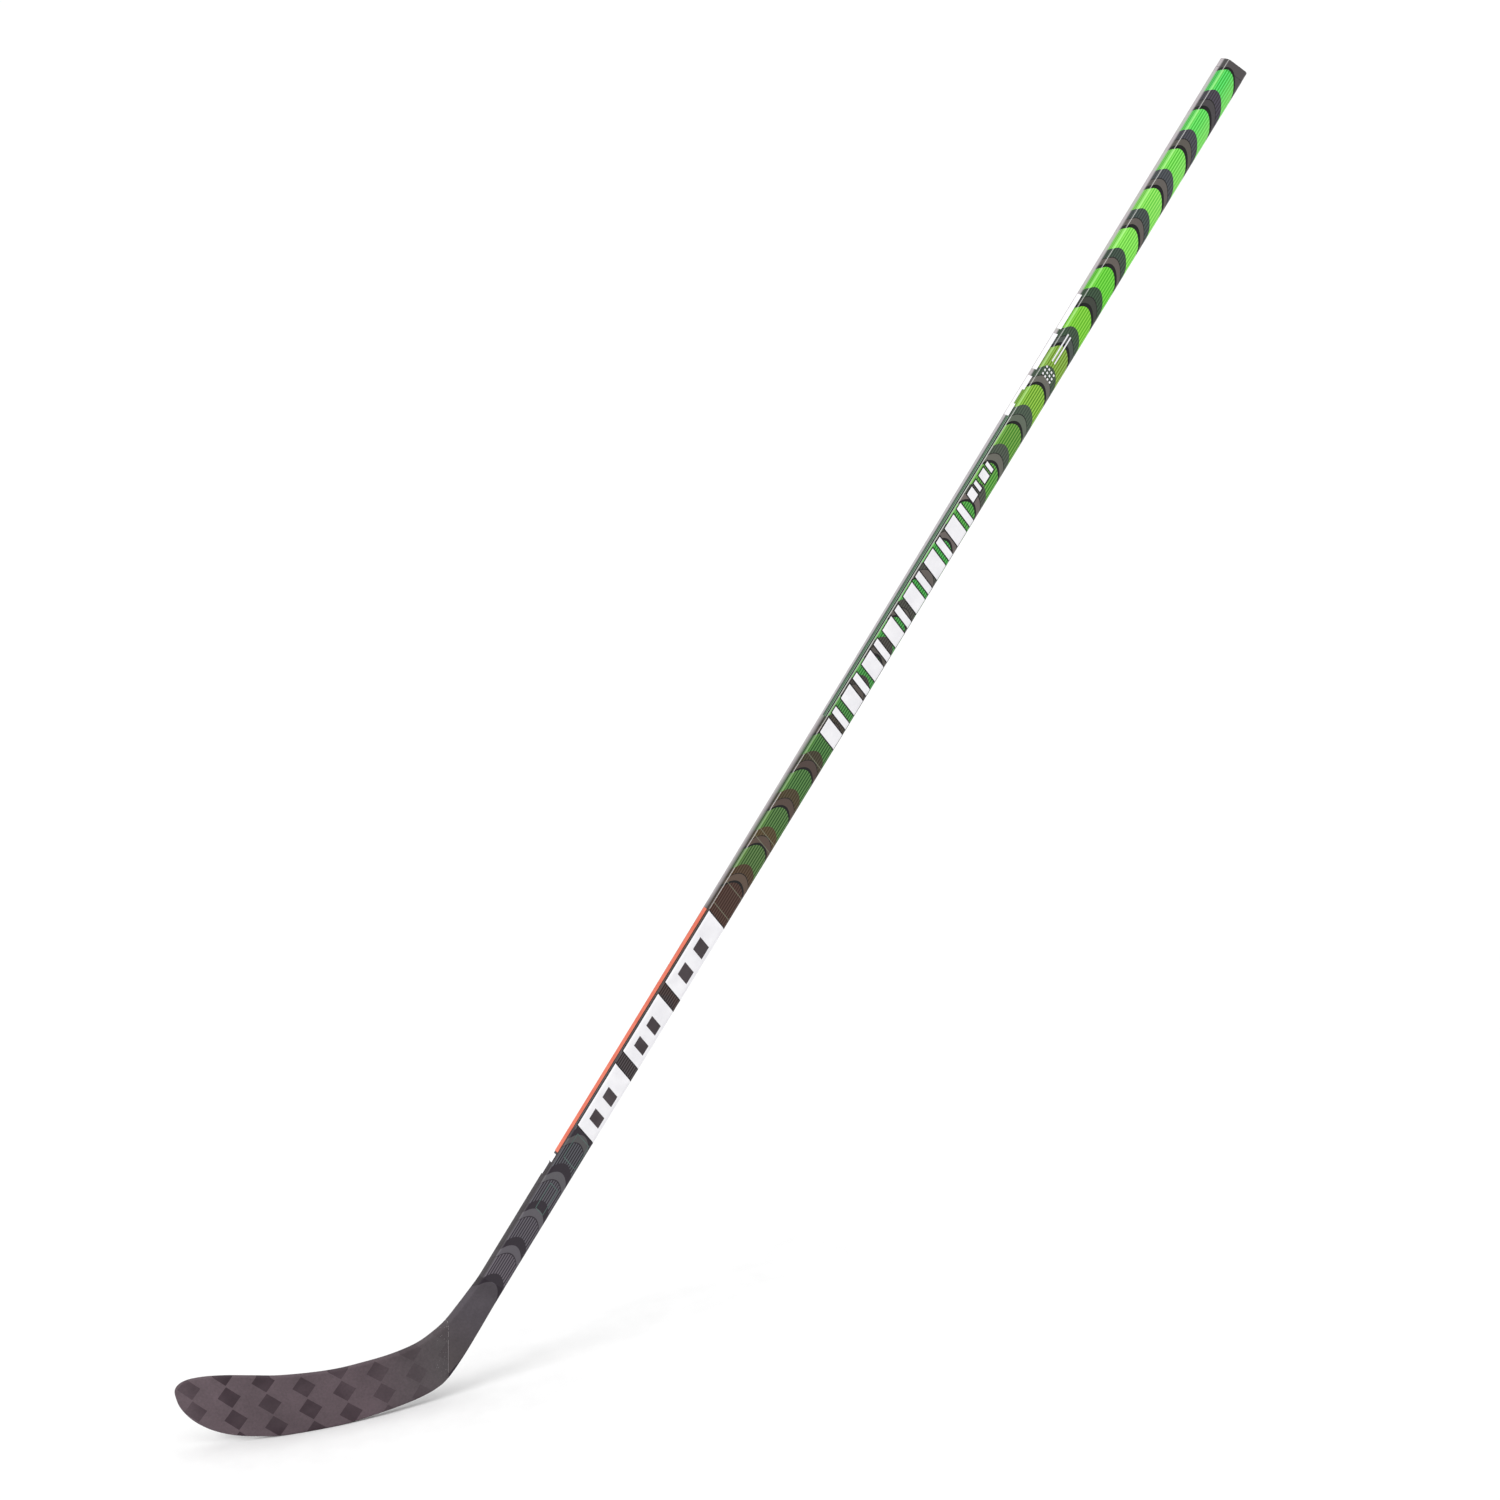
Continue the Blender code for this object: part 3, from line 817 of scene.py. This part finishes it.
def add_butt(material):
    """The end plug: a chamfered tongue inside the tube and a rounded collar outside."""
    rim = SHAFT_TOP - BUTT_COLLAR
    inner_end = rim - BUTT_PLUG
    edge = SHAFT_TOP - BUTT_EDGE
    tongue = WALL + GAP
    rows = [
        shaft_row(inner_end, tongue + PLUG_CHAMFER),
        shaft_row(inner_end + PLUG_LEAD, tongue),
        shaft_row(rim + GAP, tongue),
        shaft_row(rim + GAP, BUTT_STEP),
        shaft_row(edge, BUTT_STEP),
    ]
    for step in range(1, BUTT_STEPS + 1):
        angle = math.radians(90 * step / BUTT_STEPS)
        shrink = BUTT_STEP + BUTT_EDGE * (1 - math.cos(angle))
        rows.append(shaft_row(edge + BUTT_EDGE * math.sin(angle), shrink))
    mesh = build("butt_plug", rows, wrap=True, ends=True)
    add_piece("butt_plug", mesh, material, "butt_plug", "butt_cap")


# ---- Blade ----


def axis_label(x, z, p):
    """How far a flat point lies along the shaft's axis, with p as it is."""
    return (x - AXIS_FOOT_X) * math.cos(LIE) + z * math.sin(LIE), p


def blade_thickness(u):
    return station_value(u, 4)


def blade_corner(u):
    return station_value(u, 5)


def hosel_row(u, inset=0.0):
    """The hosel's section at u, inset by so much all round."""
    edges = blade_frame(u)
    return section_row(edges, blade_thickness(u), blade_corner(u), axis_label, inset)


def stations(start, end):
    """Evenly spaced places from one section's number to another's."""
    return np.linspace(start, end, math.ceil((end - start) * STATION_STEPS) + 1)


def add_hosel(material):
    """The overwrap from the heel to the shaft, turned in at both ends by its wall."""
    stops = stations(SEAM + GAP / SEAM_RUN, LAST)
    rows = [hosel_row(stops[0], HOSEL_WALL)]
    rows += [hosel_row(u) for u in stops]
    rows += [shaft_row(SHAFT_START), shaft_row(SHAFT_START, HOSEL_WALL)]
    mesh = build("hosel", rows, wrap=True)
    add_piece("hosel", mesh, material, "hosel_finish", "hosel_wrap")


def add_faces(material):
    """The blade's two carbon faces, out to the edge strip."""
    for name, node, side in (
        ("blade_backhand", "skin_backhand", -1),
        ("blade_forehand", "skin_forehand", 1),
    ):
        rows = []
        for u in stations(0.0, SEAM):
            edges = blade_frame(u, EDGE_DEPTH)
            half = blade_thickness(u) / 2
            heights = np.linspace(0.0, frame_height(edges), FACE_STEPS + 1)
            points = [(h, side * half) for h in heights]
            points += [(h, side * (half - SKIN)) for h in heights[::-1]]
            row = []
            for h, y in points:
                x, z = flat_point(edges, h)
                row.append((placed(x, y, z), (x, z)))
            rows.append(row)
        mesh = build(name, rows, wrap=True, ends=True)
        add_piece(name, mesh, material, "blade_finish", node)


def rim_row(v):
    """A section of the edge strip: rounded outside, flat where it meets the cores."""
    half = blade_thickness(chain_station(v)) / 2
    radius = min(blade_corner(chain_station(v)), RIM_FULLEST * half)
    arc = []
    for step in range(ARC_STEPS + 1):
        angle = math.radians(90 * step / ARC_STEPS)
        arc.append((radius * (1 - math.sin(angle)), half - radius * (1 - math.cos(angle))))
    profile = [(EDGE_DEPTH, -half), *[(depth, -y) for depth, y in arc]]
    profile += [*arc[::-1], (EDGE_DEPTH, half)]
    row = []
    for depth, y in profile:
        x, z = chain_point(v, depth)
        row.append((placed(x, y, z), (x, z)))
    return row


def add_rim(material):
    """The edge strip, from the seam along the bottom, round the toe and back along the top."""
    steps = int((2 * SEAM + 1) * STATION_STEPS)
    stops = np.linspace(LAST - SEAM, LAST + 1 + SEAM, steps + 1)
    mesh = build("blade_rim", [rim_row(v) for v in stops], wrap=True, ends=True)
    add_piece("blade_rim", mesh, material, "edge_finish", "edge_bottom", "edge_toe", "edge_top")


# ---- Printed marks ----


def on_shaft(s, p, side, lift):
    """The place at s and p, on the backhand face where side is -1, forehand where it is 1."""
    thickness = shaft_value(s, TAPER_THICKNESS)
    radius = shaft_value(s, TAPER_CORNER)
    h, y = around(SHAFT_WIDTH, thickness, radius, p, lift)
    x, z = flat_point(shaft_frame(s), h)
    return placed(x, -side * y, z)


def stops_between(low, high, step):
    """Evenly spaced places, both ends among them, no more than step apart."""
    return np.linspace(low, high, max(2, math.ceil((high - low) / step) + 1))


def bar_rows(bar, grow, side, lift, slant):
    """A slanted bar on the shaft's surface, all in mm, made larger all round by grow."""
    s_low, s_high, p_low, p_high = bar
    rows = []
    for s in stops_between(s_low - grow, s_high + grow, MARK_STEP_ALONG):
        row = []
        for p in stops_between(p_low - grow, p_high + grow, MARK_STEP_ACROSS):
            place = on_shaft((s - slant * p) * MM, p * MM, side, lift * MM)
            row.append((place, (s * MM, p * MM)))
        rows.append(row)
    return rows


def add_marks(name, bars, side, lift, material, slot, node, grow=0.0, slant=SLANT):
    """One piece of several bars. On the upper narrow side, side is 0."""
    merged = bmesh.new()
    merged.loops.layers.uv.new("finish")
    outward = Vector((0, side, 0)) if side else Vector((-math.sin(LIE), 0, math.cos(LIE)))
    for bar in bars:
        patch = build("patch", bar_rows(bar, grow, side or -1, lift, slant), wrap=False)
        turn_outwards(patch, outward)
        merged.from_mesh(patch)
        bpy.data.meshes.remove(patch)
    mesh = bpy.data.meshes.new(name)
    merged.to_mesh(mesh)
    merged.free()
    mesh.shade_smooth()
    add_piece(name, mesh, material, slot, node)


def slots():
    """The slots in the large blocks."""
    bars = []
    for low, high in LARGE_BLOCKS:
        length = high - low
        for share in SLOT_SHARES:
            middle = low + share * length
            half = SLOT_HALF_SHARE * length
            bars.append((middle - half, middle + half, *SLOT_P))
    return bars


def slashes(start, end, count, p_low, p_high):
    """Pairs of a broad and a narrow bar, evenly spaced."""
    pitch = (end - start) / count
    bars = []
    for i in range(count):
        low = start + i * pitch
        for share_from, share_to in SLASH_PAIR:
            bars.append((low + share_from * pitch, low + share_to * pitch, p_low, p_high))
    return bars


def outline_bars(low, high, p_low, p_high):
    """Four thin bars round a slanted box."""
    return [
        (low, low + GHOST_WIDTH, p_low, p_high),
        (high - GHOST_WIDTH, high, p_low, p_high),
        (low, high, p_low, p_low + GHOST_WIDTH),
        (low, high, p_high - GHOST_WIDTH, p_high),
    ]


def dots():
    """A grid of small squares."""
    bars = []
    for i in range(DOTS_ALONG):
        for j in range(DOTS_ACROSS):
            s, p = DOTS_S + DOT_PITCH * i, DOTS_P + DOT_PITCH * j
            bars.append((s, s + DOT_SIZE, p, p + DOT_SIZE))
    return bars


def add_prints(white, black, grey, ghost, coral):
    """The marks on both faces, then the small ones, then those on the upper narrow side."""
    blocks = [(low, high, *LARGE_P) for low, high in LARGE_BLOCKS]
    pairs = slashes(*LONG_SLASHES) + slashes(*SHORT_SLASHES)
    boxes = [bar for box in GHOST_BOXES for bar in outline_bars(*box)]
    kinds = (
        ("panel_base", blocks, DARK_LIFT, black, "shaft_finish", "large", LARGE_GROUND),
        ("panel_white", blocks, LIGHT_LIFT, white, "white_ink", "large", 0.0),
        ("panel_slots", slots(), SLOT_LIFT, grey, "shaft_finish", "large", 0.0),
        ("slash_base", pairs, DARK_LIFT, black, "shaft_finish", "long", SLASH_GROUND),
        ("slash_white", pairs, LIGHT_LIFT, white, "white_ink", "long", 0.0),
        ("ghost_boxes", boxes, DARK_LIFT, ghost, "shaft_finish", "large", 0.0),
    )
    for side, face in ((-1, "backhand"), (1, "forehand")):
        for name, bars, lift, material, slot, film, grow in kinds:
            node = f"film_{face}_{film}"
            add_marks(f"{name}_{face}", bars, side, lift, material, slot, node, grow)
    small = dots() + list(DOT_BARS)
    add_marks("dots", small, -1, LIGHT_LIFT, white, "white_ink", "film_backhand_small")
    for name, bars, material, slot in (
        ("upper_panel", UPPER_PANEL, white, "white_ink"),
        ("upper_stripe", UPPER_STRIPE, coral, "coral_ink"),
        ("upper_tab", UPPER_TAB, white, "white_ink"),
    ):
        add_marks(name, bars, 0, LIGHT_LIFT, material, slot, f"film_{name}", slant=0.0)


def finish_inner_nodes():
    """The bonded pieces inside, which keep their CAD shapes."""
    carbon = plain_material("inner_carbon", "3a3638", "4a4547", 0.45, 300.0, bump=0.2)
    foam = plain_material("inner_foam", "e6e0cc", "f0ead8", 0.9, 900.0, bump=0.5)
    epoxy = plain_material("inner_epoxy", "b49a5c", "c8b075", 0.35, 160.0, bump=0.2)
    for node, material in (
        ("hosel_tenon", carbon),
        ("core_bridge", carbon),
        ("tenon_core", foam),
        ("heel_core", foam),
        ("core_upper", foam),
        ("core_lower", foam),
        ("tenon_bond", epoxy),
    ):
        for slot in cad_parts[node].material_slots:
            slot.material = material


# ---- Stage ----

FLOOR_REACH = 400.0
WORLD_STRENGTH = 0.62
# The two suns, each (name, towards it, strength, width in degrees).
SUNS = (
    ("key", (-0.72, -0.24, 0.65), 1.1, 26.0),
    ("top", (0.15, -0.10, 0.98), 1.0, 70.0),
)

SENSOR_WIDTH = 36.0
CAMERA_LENS = 106.536
CAMERA_AT = (-0.9583, -4.0324, 1.9156)
CAMERA_TURN = (
    (0.914761, 0.222567, -0.33716),
    (-0.384949, 0.226964, -0.894596),
    (-0.122584, 0.94813, 0.293295),
)


def add_floor():
    """White paper, far larger than the picture shows."""
    mesh = bpy.data.meshes.new("floor")
    signs = ((-1, -1), (1, -1), (1, 1), (-1, 1))
    corners = [(x * FLOOR_REACH, y * FLOOR_REACH, 0) for x, y in signs]
    mesh.from_pydata(corners, [], [(0, 1, 2, 3)])
    floor = bpy.data.objects.new("floor", mesh)
    bpy.context.scene.collection.objects.link(floor)
    mesh.materials.append(plain_material("floor_paper", "f6f6f6", "fafafa", 0.9, 30.0, bump=0.0))


def add_sun(name, towards, strength, width):
    """A wide, even light that shines from that direction."""
    data = bpy.data.lights.new(name, "SUN")
    data.energy = strength
    data.angle = math.radians(width)
    light = bpy.data.objects.new(name, data)
    bpy.context.scene.collection.objects.link(light)
    light.rotation_euler = Vector(towards).to_track_quat("Z", "Y").to_euler()


def add_stage():
    """The white studio: world, floor and suns."""
    world = bpy.data.worlds.new("studio")
    world.use_nodes = True
    background = world.node_tree.nodes["Background"]
    background.inputs["Color"].default_value = (1.0, 1.0, 1.0, 1.0)
    background.inputs["Strength"].default_value = WORLD_STRENGTH
    bpy.context.scene.world = world
    add_floor()
    for sun in SUNS:
        add_sun(*sun)


def add_camera():
    """The photograph's view, as fitted to the stick's outline."""
    data = bpy.data.cameras.new("camera")
    data.sensor_width = SENSOR_WIDTH
    data.lens = CAMERA_LENS
    camera = bpy.data.objects.new("camera", data)
    bpy.context.scene.collection.objects.link(camera)
    camera.matrix_world = Matrix.Translation(CAMERA_AT) @ Matrix(CAMERA_TURN).to_4x4()
    bpy.context.scene.camera = camera


# ---- The whole scene ----

shaft_print = shaft_material()
add_sleeves(shaft_print)
add_butt(shaft_print)
add_hosel(hosel_material())
blade_weave = blade_material()
add_faces(blade_weave)
add_rim(blade_weave)
add_prints(
    plain_material("white_print", "f0eff3", "fbfafd", 0.35, 60.0, bump=0.05),
    plain_material("black_print", "262425", "322f31", 0.35, 80.0, bump=0.05),
    plain_material("grey_print", "443e41", "544d50", 0.35, 50.0, bump=0.05),
    plain_material("ghost_print", "566a66", "647a74", 0.35, 80.0, bump=0.05),
    plain_material("coral_print", "dc6f59", "e88068", 0.35, 60.0, bump=0.05),
)
finish_inner_nodes()
add_stage()
add_camera()
bpy.context.scene.view_settings.view_transform = "Standard"
